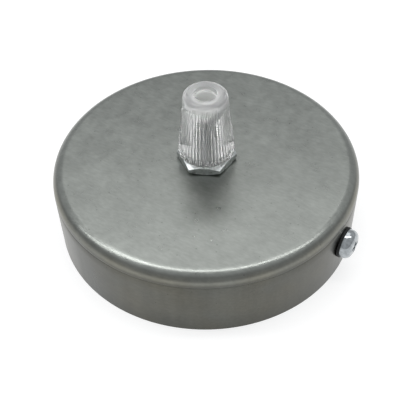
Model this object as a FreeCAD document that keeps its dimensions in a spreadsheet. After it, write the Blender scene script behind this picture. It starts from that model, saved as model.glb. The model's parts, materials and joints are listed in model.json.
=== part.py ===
import FreeCAD, Part
import math
import os
import re
import Sketcher

# Electrical ceiling rose, in millimetres. The rim of the canopy lies in the plane Z = 0, which is
# the ceiling when the rose is in use, and the cord grip points along +Z. The side screws and the
# strap bracket lie along X. The origin is the centre of the rim.

SIZES = {
    # Canopy
    "canopy_radius": 50.0,
    "canopy_height": 25.0,
    "sheet_thickness": 1.0,
    "canopy_edge_radius": 4.0,
    "canopy_hole_play": 0.5,
    "crease_drop": 4.8,
    "crease_depth": 0.18,
    "crease_width": 0.5,
    # Where the grip stands in its hole, as wide as the play allows
    "grip_shift_x": 0.38,
    "grip_shift_y": 0.24,
    # Threads: a screw's solid is its outside diameter, and each tapped hole stands off by this
    "thread_clearance": 0.08,
    "hole_play": 0.25,
    # Nuts on the stem
    "nut_across_flats": 17.0,
    "nut_thickness": 3.0,
    "nut_face_radius": 8.1,
    "nut_turn": 26.0,
    "washer_tooth_radius": 8.0,
    "washer_ring_radius": 6.6,
    "tooth_width": 1.5,
    "tooth_washer_thickness": 0.8,
    # Cord grip stem
    "stem_radius": 5.0,
    "stem_bore_radius": 3.6,
    "stem_inside_length": 8.0,
    "stem_chamfer": 0.5,
    # Cord grip cap
    "cap_gap": 1.1,
    "cap_height": 22.1,
    "cap_base_radius": 9.12,
    "cap_band_height": 1.9,
    "cap_shoulder_radius": 6.8,
    "cap_top_edge": 1.5,
    "cap_top_wall": 1.5,
    "cap_mouth_radius": 7.3,
    "cap_mouth_depth": 1.6,
    "cap_thread_height": 15.2,
    "flute_radius": 0.42,
    "flute_depth": 0.24,
    "flute_height": 17.5,
    # Collet between the stem and the cap
    "collet_height": 5.0,
    "collet_bore_radius": 3.3,
    "collet_top_radius": 4.1,
    "collet_gap": 0.33,
    "collet_slit": 1.0,
    # Side screws, M5 by 10, and their washers
    "side_screw_height": 12.0,
    "side_screw_radius": 2.5,
    "side_screw_length": 10.0,
    "side_head_radius": 4.75,
    "side_head_height": 3.2,
    "side_head_round": 2.3,
    "side_washer_radius": 5.0,
    "side_washer_thickness": 0.8,
    "seat_gap": 0.05,
    # Chamfer at the tip of every screw
    "screw_chamfer": 0.5,
    # Cross recess, for one size of driver, tapered by so many degrees
    "recess_reach": 2.3,
    "recess_arm": 1.1,
    "recess_depth": 1.9,
    "recess_taper": 10.0,
    # Strap bracket
    "strap_thickness": 1.5,
    "strap_width": 18.0,
    "bend_radius": 1.0,
    "ear_gap": 0.95,
    "ear_width": 12.0,
    "ear_height": 17.5,
    "ear_corner": 3.0,
    "slot_centre": 28.0,
    "slot_length": 16.0,
    "slot_radius": 2.5,
    "window_length": 24.0,
    "window_width": 10.0,
    "lug_width": 20.0,
    "lug_reach": 33.0,
    "lug_corner": 3.0,
    "earth_tab_width": 12.0,
    "earth_tab_height": 13.5,
    # Earth screw, M4 by 6, and its washer
    "earth_screw_height": 8.0,
    "earth_screw_radius": 2.0,
    "earth_screw_length": 6.0,
    "earth_head_radius": 4.0,
    "earth_head_height": 2.6,
    "earth_head_round": 1.4,
    "earth_washer_radius": 4.4,
    "earth_washer_thickness": 0.8,
    # Terminal block
    "block_setback": 9.0,
    "block_width": 16.0,
    "block_height": 12.0,
    "block_floor": 1.0,
    "pole_pitch": 12.0,
    "pole_width": 7.2,
    "pole_height": 8.2,
    "web_width": 9.0,
    "web_height": 3.4,
    "tower_radius": 3.2,
    "tower_bore_radius": 2.2,
    "tube_width": 5.2,
    "tube_height": 6.2,
    "tube_length": 14.0,
    "tube_play": 0.1,
    "wire_bore_radius": 1.8,
    "wire_bore_height": 2.7,
    "clamp_screw_place": 3.9,
    "clamp_screw_radius": 1.5,
    "clamp_screw_length": 4.6,
    "clamp_screw_lift": 0.15,
    "clamp_head_radius": 1.95,
    "clamp_head_height": 1.6,
    "driver_slot_width": 0.6,
    "driver_slot_depth": 0.8,
    # Screws that fix the block, M2.5
    "block_screw_radius": 1.25,
    "block_head_radius": 2.5,
    "block_head_height": 1.9,
    "block_head_play": 0.2,
    "block_screw_tip_gap": 0.2,
}

# Two lengths nearer than this are one length
CLOSE = 0.001
# Least volume that a cut takes away
LEAST_CUT = 1e-6

# Ends of a new line of a sketch, until its corners are pinned
NEAR_END = FreeCAD.Vector(1, 0, 0)
FAR_END = FreeCAD.Vector(2, 0, 0)

FLUTE_COUNT = 48
TOOTH_COUNT = 12
POLES = (1, 2, 3)
SIDES = {"right": 1, "left": -1}
ENDS = {"a": -1, "b": 1}

DOC = FreeCAD.newDocument("ceiling_rose")


def make_sheet():
    """Spreadsheet of the driving dimensions, one row each."""
    sheet = DOC.addObject("Spreadsheet::Sheet", "Sizes")
    for row, (alias, value) in enumerate(SIZES.items(), start=1):
        sheet.set(f"A{row}", alias)
        sheet.set(f"B{row}", str(value))
        sheet.setAlias(f"B{row}", alias)
    DOC.recompute()
    return sheet


def sized(text):
    """The same formula with every size named as a cell of the sheet."""
    names = re.findall(r"[a-z]+(?:_[a-z]+)+", text)
    for name in set(names):
        if name not in SIZES:
            raise KeyError(name)
    return re.sub(r"\b([a-z]+(?:_[a-z]+)+)\b", r"Sizes.\1", text)


def bind(thing, target, text):
    thing.setExpression(target, sized(text))


def new_body(name):
    part = DOC.addObject("PartDesign::Body", name)
    part.Label = name
    return part


def new_sketch(part, name, role, height=None):
    """Sketch on one of the body's origin planes, moved along the plane's normal by height."""
    sketch = part.newObject("Sketcher::SketchObject", f"{part.Name}_{name}")
    face = next(item for item in part.Origin.OriginFeatures if item.Role == role)
    sketch.AttachmentSupport = [(face, "")]
    sketch.MapMode = "FlatFace"
    if height:
        bind(sketch, "AttachmentOffset.Base.z", height)
    return sketch


def pin_point(sketch, geometry, point, across, along):
    """Hold a point of a sketch at two formulas, measured from the sketch's origin."""
    for kind, text in (("DistanceX", across), ("DistanceY", along)):
        index = sketch.addConstraint(Sketcher.Constraint(kind, -1, 1, geometry, point, 0.0))
        bind(sketch, f"Constraints[{index}]", text)


def add_polygon(sketch, corners):
    """Closed outline whose corners are pairs of formulas."""
    count = len(corners)
    first = sketch.GeometryCount
    for _ in corners:
        sketch.addGeometry(Part.LineSegment(NEAR_END, FAR_END), False)
    for step in range(count):
        following = first + (step + 1) % count
        sketch.addConstraint(Sketcher.Constraint("Coincident", first + step, 2, following, 1))
    for step, (across, along) in enumerate(corners):
        pin_point(sketch, first + step, 1, across, along)


def add_rectangle(sketch, low, high):
    add_polygon(sketch, [low, (high[0], low[1]), high, (low[0], high[1])])


def add_circle(sketch, centre, radius):
    index = sketch.addGeometry(Part.Circle(), False)
    pin_point(sketch, index, 3, *centre)
    limit = sketch.addConstraint(Sketcher.Constraint("Radius", index, 1.0))
    bind(sketch, f"Constraints[{limit}]", radius)


def add_feature(part, kind, name, profile):
    feature = part.newObject(f"PartDesign::{kind}", f"{part.Name}_{name}")
    feature.Profile = profile
    return feature


def revolve(part, name, corners, kind="Revolution"):
    """Full turn of an outline given as radius and height about the body's Z axis."""
    sketch = new_sketch(part, f"{name}_outline", "XZ_Plane")
    add_polygon(sketch, corners)
    feature = add_feature(part, kind, name, sketch)
    feature.ReferenceAxis = (sketch, ["V_Axis"])
    feature.Angle = 360.0
    return feature


def extrude(part, name, sketch, length, kind="Pad"):
    feature = add_feature(part, kind, name, sketch)
    bind(feature, "Length", length)
    return feature


def polar(part, name, feature, sketch, count):
    pattern = part.newObject("PartDesign::PolarPattern", f"{part.Name}_{name}")
    pattern.Originals = [feature]
    pattern.Axis = (sketch, ["N_Axis"])
    pattern.Angle = 360.0
    pattern.Occurrences = count
    part.Tip = pattern
    return pattern


def edge_names(feature, test):
    """Names of the feature's edges whose middle point passes the test."""
    names = []
    for number, edge in enumerate(feature.Shape.Edges, start=1):
        middle = edge.valueAt((edge.FirstParameter + edge.LastParameter) / 2)
        if test(middle, edge):
            names.append(f"Edge{number}")
    if not names:
        raise ValueError(f"no edge found on {feature.Name}")
    return names


def is_circle(edge, radius):
    curve = edge.Curve
    return isinstance(curve, Part.Circle) and abs(curve.Radius - radius) < CLOSE


def round_edges(part, name, base, test, radius):
    """Fillet with its radius tied to the sheet."""
    DOC.recompute()
    fillet = part.newObject("PartDesign::Fillet", f"{part.Name}_{name}")
    fillet.Base = (base, edge_names(base, test))
    bind(fillet, "Radius", radius)
    return fillet


def place(part, across="0", along="0", up="0", axis=None, angle="0"):
    """Placement of a finished body, each length and the turn tied to the sheet."""
    bind(part, "Placement.Base.x", across)
    bind(part, "Placement.Base.y", along)
    bind(part, "Placement.Base.z", up)
    if axis:
        for letter, value in zip("xyz", axis):
            part.setExpression(f"Placement.Rotation.Axis.{letter}", str(value))
        bind(part, "Placement.Rotation.Angle", angle)


GRIP_PLACE = ("grip_shift_x", "grip_shift_y")
CAP_BOTTOM = "canopy_height + nut_thickness + cap_gap"
CANOPY_INSIDE = "canopy_height - sheet_thickness"
EAR_FACE = "canopy_radius - sheet_thickness - ear_gap"
BLOCK_CENTRE = "lug_reach - block_setback"
TAB_FACE = "(strap_width / 2 + strap_thickness + bend_radius)"


def make_canopy():
    """Drawn cup: wall, top, rounded edge, and a shallow ring left by the draw die."""
    part = new_body("canopy")
    hole = "stem_radius + canopy_hole_play"
    inner = "canopy_radius - sheet_thickness"
    groove = "canopy_radius - crease_depth"
    level = "canopy_height - crease_drop"
    cup = revolve(part, "cup", [
        (inner, "0"),
        ("canopy_radius", "0"),
        ("canopy_radius", "canopy_height"),
        (hole, "canopy_height"),
        (hole, CANOPY_INSIDE),
        (inner, CANOPY_INSIDE),
    ])
    top = SIZES["canopy_height"]
    radius = SIZES["canopy_radius"]
    thickness = SIZES["sheet_thickness"]

    def outer_edge(middle, edge):
        return is_circle(edge, radius) and middle.z > top / 2

    def inner_edge(middle, edge):
        return is_circle(edge, radius - thickness) and middle.z > top / 2

    rounded = round_edges(part, "outer_edge", cup, outer_edge, "canopy_edge_radius")
    round_edges(part, "inner_edge", rounded, inner_edge, "canopy_edge_radius - sheet_thickness")
    revolve(part, "crease", [
        ("canopy_radius", f"{level} - crease_width"),
        ("canopy_radius + sheet_thickness", f"{level} - crease_width"),
        ("canopy_radius + sheet_thickness", f"{level} + crease_width"),
        ("canopy_radius", f"{level} + crease_width"),
        (groove, level),
    ], "Groove")
    outside = "canopy_radius + sheet_thickness"
    holes = new_sketch(part, "side_holes_outline", "YZ_Plane", outside)
    add_circle(holes, ("0", "side_screw_height"), "side_screw_radius + hole_play")
    extrude(part, "side_holes", holes, f"2 * ({outside})", "Pocket")


def make_nut(name, height):
    """Thin hexagon nut, chamfered at 30 degrees on both faces."""
    part = new_body(name)
    hexagon = new_sketch(part, "hexagon", "XY_Plane")
    corner = "nut_across_flats / 2 / cos(30)"
    add_polygon(hexagon, [
        (f"{corner} * cos({60 * side})", f"{corner} * sin({60 * side})") for side in range(6)
    ])
    add_circle(hexagon, ("0", "0"), "stem_radius + thread_clearance")
    extrude(part, "blank", hexagon, "nut_thickness")
    beyond = "nut_across_flats"
    drop = "(nut_across_flats - nut_face_radius) * tan(30)"
    revolve(part, "top_chamfer", [
        ("nut_face_radius", "nut_thickness"),
        (beyond, "nut_thickness"),
        (beyond, f"nut_thickness - {drop}"),
    ], "Groove")
    revolve(part, "bottom_chamfer", [
        ("nut_face_radius", "0"),
        (beyond, "0"),
        (beyond, drop),
    ], "Groove")
    place(part, *GRIP_PLACE, height, (0, 0, 1), "nut_turn")


def make_tooth_washer():
    """Lock washer with square teeth, between the inner nut and the canopy."""
    part = new_body("tooth_washer")
    hole = "stem_radius + thread_clearance"
    revolve(part, "ring", [
        (hole, "0"),
        ("washer_tooth_radius", "0"),
        ("washer_tooth_radius", "tooth_washer_thickness"),
        (hole, "tooth_washer_thickness"),
    ])
    notch = new_sketch(part, "notch_outline", "XY_Plane", "tooth_washer_thickness")
    add_rectangle(
        notch,
        ("washer_ring_radius", "-tooth_width / 2"),
        ("washer_tooth_radius + tooth_width", "tooth_width / 2"),
    )
    cut = extrude(part, "notch", notch, "tooth_washer_thickness", "Pocket")
    polar(part, "notches", cut, notch, TOOTH_COUNT)
    height = f"{CANOPY_INSIDE} - tooth_washer_thickness"
    place(part, *GRIP_PLACE, height)


def make_stem():
    """Hollow threaded stem from inside the canopy to the collet."""
    part = new_body("grip_stem")
    length = "(stem_inside_length + sheet_thickness + nut_thickness + cap_gap + cap_thread_height)"
    revolve(part, "tube", [
        ("stem_bore_radius", "0"),
        ("stem_radius - stem_chamfer", "0"),
        ("stem_radius", "stem_chamfer"),
        ("stem_radius", f"{length} - stem_chamfer"),
        ("stem_radius - stem_chamfer", length),
        ("stem_bore_radius", length),
    ])
    place(part, *GRIP_PLACE, f"{CANOPY_INSIDE} - stem_inside_length")


def make_cap():
    """Tapered cap with fluted flank, threaded bore and a cone that closes the collet."""
    part = new_body("grip_cap")
    bore = "stem_radius + thread_clearance"
    ceiling = "cap_height - cap_top_wall"
    cone_top = "collet_top_radius + collet_gap"
    shell = revolve(part, "shell", [
        ("cap_mouth_radius", "0"),
        ("cap_base_radius", "0"),
        ("cap_base_radius", "cap_band_height"),
        ("cap_shoulder_radius", "cap_height"),
        ("stem_bore_radius", "cap_height"),
        ("stem_bore_radius", ceiling),
        (cone_top, ceiling),
        (bore, "cap_thread_height"),
        (bore, "cap_mouth_depth + cap_mouth_radius - stem_radius - thread_clearance"),
        ("cap_mouth_radius", "cap_mouth_depth"),
    ])
    height = SIZES["cap_height"]
    shoulder = SIZES["cap_shoulder_radius"]

    def top_edge(middle, edge):
        return is_circle(edge, shoulder) and abs(middle.z - height) < CLOSE

    round_edges(part, "top_edge", shell, top_edge, "cap_top_edge")
    add_flutes(part)
    place(part, *GRIP_PLACE, CAP_BOTTOM)


def add_flutes(part):
    """Round flutes up the flank. Each is cut about its own leaning axis and runs out at the top."""
    taper = "(cap_base_radius - cap_shoulder_radius) / (cap_height - cap_band_height)"
    foot = "(cap_base_radius + flute_radius - flute_depth)"
    head = f"(cap_base_radius - (flute_height - cap_band_height) * {taper} + flute_radius)"
    lean = f"atan(({foot} - {head}) / flute_height)"
    inward = f"flute_radius * cos({lean})"
    down = f"flute_radius * sin({lean})"
    start = f"({foot} + flute_radius * tan({lean}))"
    outline = new_sketch(part, "flute_outline", "XZ_Plane")
    add_polygon(outline, [
        (start, "-flute_radius"),
        (head, "flute_height"),
        (f"{head} - {inward}", f"flute_height - {down}"),
        (f"{start} - {inward}", f"-flute_radius - {down}"),
    ])
    flute = add_feature(part, "Groove", "flute", outline)
    flute.ReferenceAxis = (outline, ["Edge1"])
    flute.Angle = 360.0
    centre = new_sketch(part, "flute_centre", "XY_Plane")
    polar(part, "flutes", flute, centre, FLUTE_COUNT)


def make_collet():
    """Split sleeve that sits on the stem's end and is closed by the cone of the cap."""
    part = new_body("grip_collet")
    foot = "stem_radius + thread_clearance - collet_gap"
    revolve(part, "sleeve", [
        ("collet_bore_radius", "0"),
        (foot, "0"),
        ("collet_top_radius", "collet_height"),
        ("collet_bore_radius", "collet_height"),
    ])
    slit = new_sketch(part, "slit_outline", "XY_Plane", "collet_height")
    add_rectangle(slit, ("0", "-collet_slit / 2"), ("stem_radius", "collet_slit / 2"))
    extrude(part, "slit", slit, "collet_height", "Pocket")
    place(part, *GRIP_PLACE, f"{CAP_BOTTOM} + cap_thread_height + seat_gap")


def add_cross_recess(part, top):
    """Cross recess for a driver, sunk from the top of a head."""
    cross = new_sketch(part, "recess_outline", "XY_Plane", top)
    reach = "recess_reach"
    arm = "recess_arm / 2"
    add_polygon(cross, [
        (reach, f"-{arm}"),
        (reach, arm),
        (arm, arm),
        (arm, reach),
        (f"-{arm}", reach),
        (f"-{arm}", arm),
        (f"-{reach}", arm),
        (f"-{reach}", f"-{arm}"),
        (f"-{arm}", f"-{arm}"),
        (f"-{arm}", f"-{reach}"),
        (arm, f"-{reach}"),
        (arm, f"-{arm}"),
    ])
    recess = extrude(part, "recess", cross, "recess_depth", "Pocket")
    bind(recess, "TaperAngle", "-recess_taper")


def add_driver_slot(part, head, top):
    """Straight slot for a driver, right across the top of a head."""
    slot = new_sketch(part, "slot_outline", "XY_Plane", top)
    half = "driver_slot_width / 2"
    reach = f"{head} + driver_slot_width"
    add_rectangle(slot, (f"-({reach})", f"-{half}"), (reach, half))
    extrude(part, "slot", slot, "driver_slot_depth", "Pocket")


def make_screw(name, shank, length, head, head_height, head_round):
    """Pan-head screw along its own Z axis, with the underside of the head at Z = 0."""
    part = new_body(name)
    blank = revolve(part, "blank", [
        ("0", f"-({length})"),
        (f"{shank} - screw_chamfer", f"-({length})"),
        (shank, f"-({length}) + screw_chamfer"),
        (shank, "0"),
        (head, "0"),
        (head, head_height),
        ("0", head_height),
    ])
    top = SIZES[head_height]
    rim = SIZES[head]

    def head_edge(middle, edge):
        return is_circle(edge, rim) and abs(middle.z - top) < CLOSE

    if head_round:
        round_edges(part, "head_edge", blank, head_edge, head_round)
    return part


def make_washer(name, hole, rim, thickness):
    part = new_body(name)
    revolve(part, "ring", [(hole, "0"), (rim, "0"), (rim, thickness), (hole, thickness)])
    return part


def make_side_screws():
    """The two screws through the canopy's wall into the bracket's ears, each on its washer."""
    for side, sign in SIDES.items():
        washer = make_washer(
            f"side_washer_{side}",
            "side_screw_radius + hole_play",
            "side_washer_radius",
            "side_washer_thickness",
        )
        seat = "canopy_radius + seat_gap"
        place(washer, f"{sign} * ({seat})", "0", "side_screw_height", (0, 1, 0), f"{sign * 90}")
        screw = make_screw(
            f"side_screw_{side}",
            "side_screw_radius",
            "side_screw_length",
            "side_head_radius",
            "side_head_height",
            "side_head_round",
        )
        add_cross_recess(screw, "side_head_height")
        head = f"{seat} + side_washer_thickness"
        place(screw, f"{sign} * ({head})", "0", "side_screw_height", (0, 1, 0), f"{sign * 90}")


def add_slot(sketch, centre, half_length, radius, number):
    """Slot with round ends along the sketch's first axis."""
    middle = SIZES["slot_centre"] * number
    reach = SIZES["slot_length"] / 2 - SIZES["slot_radius"]
    height = SIZES["slot_radius"]
    right = FreeCAD.Vector(middle + reach, 0, 0)
    left = FreeCAD.Vector(middle - reach, 0, 0)
    normal = FreeCAD.Vector(0, 0, 1)
    quarter = math.pi / 2
    up = FreeCAD.Vector(0, height, 0)
    first = sketch.addGeometry(
        Part.ArcOfCircle(Part.Circle(right, normal, height), -quarter, quarter), False)
    sketch.addGeometry(Part.LineSegment(right + up, left + up), False)
    sketch.addGeometry(
        Part.ArcOfCircle(Part.Circle(left, normal, height), quarter, 3 * quarter), False)
    sketch.addGeometry(Part.LineSegment(left - up, right - up), False)
    for step in range(4):
        following = first + (step + 1) % 4
        sketch.addConstraint(Sketcher.Constraint("Tangent", first + step, 2, following, 1))
    pin_point(sketch, first, 3, f"{centre} + {half_length} - {radius}", "0")
    pin_point(sketch, first + 2, 3, f"{centre} - {half_length} + {radius}", "0")
    limit = sketch.addConstraint(Sketcher.Constraint("Radius", first, height))
    bind(sketch, f"Constraints[{limit}]", radius)


def make_bracket():
    """Strap bent up at both ends, with a lug for the block and a tab for the earth screw."""
    part = new_body("bracket")
    half = "strap_width / 2"
    face = EAR_FACE
    inside = f"{face} - strap_thickness"
    profile = new_sketch(part, "profile", "XZ_Plane", f"-{half}")
    add_polygon(profile, [
        (f"-({face})", "0"),
        (face, "0"),
        (face, "ear_height"),
        (inside, "ear_height"),
        (inside, "strap_thickness"),
        (f"-({inside})", "strap_thickness"),
        (f"-({inside})", "ear_height"),
        (f"-({face})", "ear_height"),
    ])
    strap = extrude(part, "strap", profile, "strap_width")
    reach = SIZES["canopy_radius"] - SIZES["sheet_thickness"] - SIZES["ear_gap"]
    thickness = SIZES["strap_thickness"]

    def outer_bend(middle, edge):
        return abs(abs(middle.x) - reach) < CLOSE and abs(middle.z) < CLOSE

    def inner_bend(middle, edge):
        corner = abs(abs(middle.x) - reach + thickness) < CLOSE
        return corner and abs(middle.z - thickness) < CLOSE

    outside = round_edges(part, "outer_bends", strap, outer_bend, "bend_radius + strap_thickness")
    round_edges(part, "inner_bends", outside, inner_bend, "bend_radius")
    shoulders = new_sketch(part, "shoulder_outline", "YZ_Plane", "canopy_radius")
    foot = "strap_thickness + bend_radius"
    for sign in ENDS.values():
        add_rectangle(
            shoulders,
            (f"{sign} * ear_width / 2", foot),
            (f"{sign} * strap_width", "2 * ear_height"),
        )
    sides = extrude(part, "shoulders", shoulders, "2 * canopy_radius", "Pocket")
    top = SIZES["ear_height"]
    ear = SIZES["ear_width"] / 2

    def ear_corner(middle, edge):
        return abs(middle.z - top) < CLOSE and abs(abs(middle.y) - ear) < CLOSE

    round_edges(part, "ear_corners", sides, ear_corner, "ear_corner")
    add_lug_and_tab(part)
    add_bracket_holes(part)


def add_lug_and_tab(part):
    """Flat lug that carries the block on one side, upright tab for the earth screw on the other."""
    lug = new_sketch(part, "lug_outline", "XY_Plane")
    add_rectangle(lug, ("-lug_width / 2", "strap_width / 4"), ("lug_width / 2", "lug_reach"))
    lug_pad = extrude(part, "lug", lug, "strap_thickness")
    reach = SIZES["lug_reach"]

    def lug_corner(middle, edge):
        upright = abs(edge.tangentAt(edge.FirstParameter).z) > 1 - CLOSE
        return upright and abs(middle.y - reach) < CLOSE

    round_edges(part, "lug_corners", lug_pad, lug_corner, "lug_corner")
    tab = new_sketch(part, "tab_profile", "YZ_Plane", "-earth_tab_width / 2")
    add_polygon(tab, [
        ("-strap_width / 4", "0"),
        (f"-{TAB_FACE}", "0"),
        (f"-{TAB_FACE}", "earth_tab_height"),
        (f"-{TAB_FACE} + strap_thickness", "earth_tab_height"),
        (f"-{TAB_FACE} + strap_thickness", "strap_thickness"),
        ("-strap_width / 4", "strap_thickness"),
    ])
    tab_pad = extrude(part, "tab", tab, "earth_tab_width")
    thickness = SIZES["strap_thickness"]
    face = SIZES["strap_width"] / 2 + thickness + SIZES["bend_radius"]

    def outer_bend(middle, edge):
        return abs(middle.y + face) < CLOSE and abs(middle.z) < CLOSE

    def inner_bend(middle, edge):
        corner = abs(middle.y + face - thickness) < CLOSE and abs(middle.x) < CLOSE
        return corner and abs(middle.z - thickness) < CLOSE

    outside = round_edges(part, "tab_outer", tab_pad, outer_bend, "bend_radius + strap_thickness")
    round_edges(part, "tab_inner", outside, inner_bend, "bend_radius")


def add_bracket_holes(part):
    """Cable window, slots for the ceiling screws, and the tapped holes."""
    slots = new_sketch(part, "slots_outline", "XY_Plane", "strap_thickness")
    for sign in ENDS.values():
        add_slot(slots, f"{sign} * slot_centre", "slot_length / 2", "slot_radius", sign)
    add_rectangle(
        slots,
        ("-window_length / 2", "-window_width / 2"),
        ("window_length / 2", "window_width / 2"),
    )
    extrude(part, "slots", slots, "strap_thickness", "Pocket")
    ears = new_sketch(part, "ear_holes_outline", "YZ_Plane", "canopy_radius")
    add_circle(ears, ("0", "side_screw_height"), "side_screw_radius + thread_clearance")
    extrude(part, "ear_holes", ears, "2 * canopy_radius", "Pocket")
    earth = new_sketch(part, "earth_hole_outline", "XZ_Plane", "strap_width")
    add_circle(earth, ("0", "earth_screw_height"), "earth_screw_radius + thread_clearance")
    extrude(part, "earth_hole", earth, "strap_width / 2", "Pocket")
    fixing = new_sketch(part, "fixing_holes_outline", "XY_Plane", "strap_thickness")
    for sign in ENDS.values():
        centre = (f"{sign} * pole_pitch / 2", BLOCK_CENTRE)
        add_circle(fixing, centre, "block_screw_radius + thread_clearance")
    extrude(part, "fixing_holes", fixing, "strap_thickness", "Pocket")


def make_earth_terminal():
    """Screw and washer on the outer face of the bracket's tab, pointing along -Y."""
    washer = make_washer(
        "earth_washer",
        "earth_screw_radius + hole_play / 2",
        "earth_washer_radius",
        "earth_washer_thickness",
    )
    place(washer, "0", f"-{TAB_FACE} - seat_gap", "earth_screw_height", (1, 0, 0), "90")
    screw = make_screw(
        "earth_screw",
        "earth_screw_radius",
        "earth_screw_length",
        "earth_head_radius",
        "earth_head_height",
        "earth_head_round",
    )
    add_cross_recess(screw, "earth_head_height")
    head = f"-{TAB_FACE} - seat_gap - earth_washer_thickness"
    place(screw, "0", head, "earth_screw_height", (1, 0, 0), "90")


def pole_centre(pole):
    return f"{pole - 2} * pole_pitch"


def make_terminal_block():
    """Moulded housing: three poles on a web, two screw towers a pole, and two fixing bosses."""
    part = new_body("terminal_block")
    web = new_sketch(part, "web_outline", "XY_Plane")
    add_rectangle(
        web,
        ("-pole_pitch - pole_width / 2", "-web_width / 2"),
        ("pole_pitch + pole_width / 2", "web_width / 2"),
    )
    extrude(part, "web", web, "web_height")
    poles = new_sketch(part, "pole_outlines", "XZ_Plane", "-block_width / 2")
    towers = new_sketch(part, "tower_outlines", "XY_Plane", "block_floor")
    channels = new_sketch(part, "channel_outlines", "XZ_Plane", "block_width / 2")
    bores = new_sketch(part, "tower_bore_outlines", "XY_Plane", "block_height")
    for pole in POLES:
        centre = pole_centre(pole)
        add_rectangle(
            poles,
            (f"{centre} - pole_width / 2", "0"),
            (f"{centre} + pole_width / 2", "pole_height"),
        )
        add_rectangle(
            channels,
            (f"{centre} - tube_width / 2 - tube_play", "block_floor"),
            (f"{centre} + tube_width / 2 + tube_play", "block_floor + tube_height + tube_play"),
        )
        for sign in ENDS.values():
            screw = (centre, f"{sign} * clamp_screw_place")
            add_circle(towers, screw, "tower_radius")
            add_circle(bores, screw, "tower_bore_radius")
    extrude(part, "poles", poles, "block_width")
    extrude(part, "towers", towers, "block_height - block_floor")
    extrude(part, "channels", channels, "block_width", "Pocket")
    extrude(part, "tower_bores", bores, "block_height - block_floor - tube_height", "Pocket")
    fixing = new_sketch(part, "fixing_outlines", "XY_Plane", "web_height")
    recess = new_sketch(part, "head_recess_outlines", "XY_Plane", "pole_height")
    for sign in ENDS.values():
        centre = (f"{sign} * pole_pitch / 2", "0")
        add_circle(fixing, centre, "block_screw_radius + hole_play")
        add_circle(recess, centre, "block_head_radius + block_head_play")
    extrude(part, "fixing_holes", fixing, "web_height", "Pocket")
    extrude(part, "head_recesses", recess, "pole_height - web_height", "Pocket")
    place(part, "0", BLOCK_CENTRE, "strap_thickness")


def make_terminal_tubes():
    """Brass bars with a round wire bore and two tapped holes from above."""
    for pole in POLES:
        part = new_body(f"terminal_tube_{pole}")
        section = new_sketch(part, "section", "XZ_Plane", "-tube_length / 2")
        add_rectangle(section, ("-tube_width / 2", "0"), ("tube_width / 2", "tube_height"))
        add_circle(section, ("0", "wire_bore_height"), "wire_bore_radius")
        extrude(part, "bar", section, "tube_length")
        holes = new_sketch(part, "screw_holes_outline", "XY_Plane", "tube_height")
        for sign in ENDS.values():
            centre = ("0", f"{sign} * clamp_screw_place")
            add_circle(holes, centre, "clamp_screw_radius + thread_clearance")
        extrude(part, "screw_holes", holes, "tube_height - wire_bore_height", "Pocket")
        height = "strap_thickness + block_floor"
        place(part, pole_centre(pole), BLOCK_CENTRE, height)


def make_clamp_screws():
    """Slotted screws, backed out so that the wire bores are clear."""
    bore_top = "strap_thickness + block_floor + wire_bore_height + wire_bore_radius"
    for pole in POLES:
        for end, sign in ENDS.items():
            screw = make_screw(
                f"clamp_screw_{pole}{end}",
                "clamp_screw_radius",
                "clamp_screw_length",
                "clamp_head_radius",
                "clamp_head_height",
                None,
            )
            add_driver_slot(screw, "clamp_head_radius", "clamp_head_height")
            along = f"{BLOCK_CENTRE} + {sign} * clamp_screw_place"
            place(screw, pole_centre(pole), along, f"{bore_top} + clamp_screw_lift + clamp_screw_length")


def make_block_screws():
    """Screws through the web of the block into the bracket's lug."""
    for number, sign in enumerate(ENDS.values(), start=1):
        screw = make_screw(
            f"block_screw_{number}",
            "block_screw_radius",
            "strap_thickness + web_height - block_screw_tip_gap",
            "block_head_radius",
            "block_head_height",
            None,
        )
        add_driver_slot(screw, "block_head_radius", "block_head_height")
        across = f"{sign} * pole_pitch / 2"
        place(screw, across, BLOCK_CENTRE, "strap_thickness + web_height")


def check_document():
    for item in DOC.Objects:
        if "Invalid" in item.State or "Error" in item.State:
            raise RuntimeError(f"{item.Name} failed: {item.State}")
    bodies = [item for item in DOC.Objects if item.TypeId == "PartDesign::Body"]
    for part in bodies:
        if part.Shape.isNull() or not part.Shape.isValid():
            raise RuntimeError(f"{part.Label} has no valid shape")
        check_cuts(part)
    return bodies


def check_cuts(part):
    """Each cutting feature must leave less material than there was before it."""
    kinds = ("Pocket", "Groove")
    for feature in part.Group:
        if feature.TypeId.split("::")[-1] in kinds:
            if feature.Shape.Volume >= feature.BaseFeature.Shape.Volume - LEAST_CUT:
                raise RuntimeError(f"{feature.Name} cuts nothing")


def export(bodies):
    os.makedirs("parts", exist_ok=True)
    for part in bodies:
        part.Shape.exportStep(f"parts/{part.Label}.step")


make_sheet()
make_canopy()
make_nut("outer_lock_nut", "canopy_height")
make_nut("inner_lock_nut", f"{CANOPY_INSIDE} - tooth_washer_thickness - nut_thickness")
make_tooth_washer()
make_stem()
make_cap()
make_collet()
make_side_screws()
make_bracket()
make_earth_terminal()
make_terminal_block()
make_terminal_tubes()
make_clamp_screws()
make_block_screws()
DOC.recompute()
export(check_document())
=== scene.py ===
import json
import math

import bmesh
import bpy
from bpy.props import FloatProperty, FloatVectorProperty, IntProperty, PointerProperty
from bpy.types import Operator, Panel, PropertyGroup
from mathutils import Matrix, Vector


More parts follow.
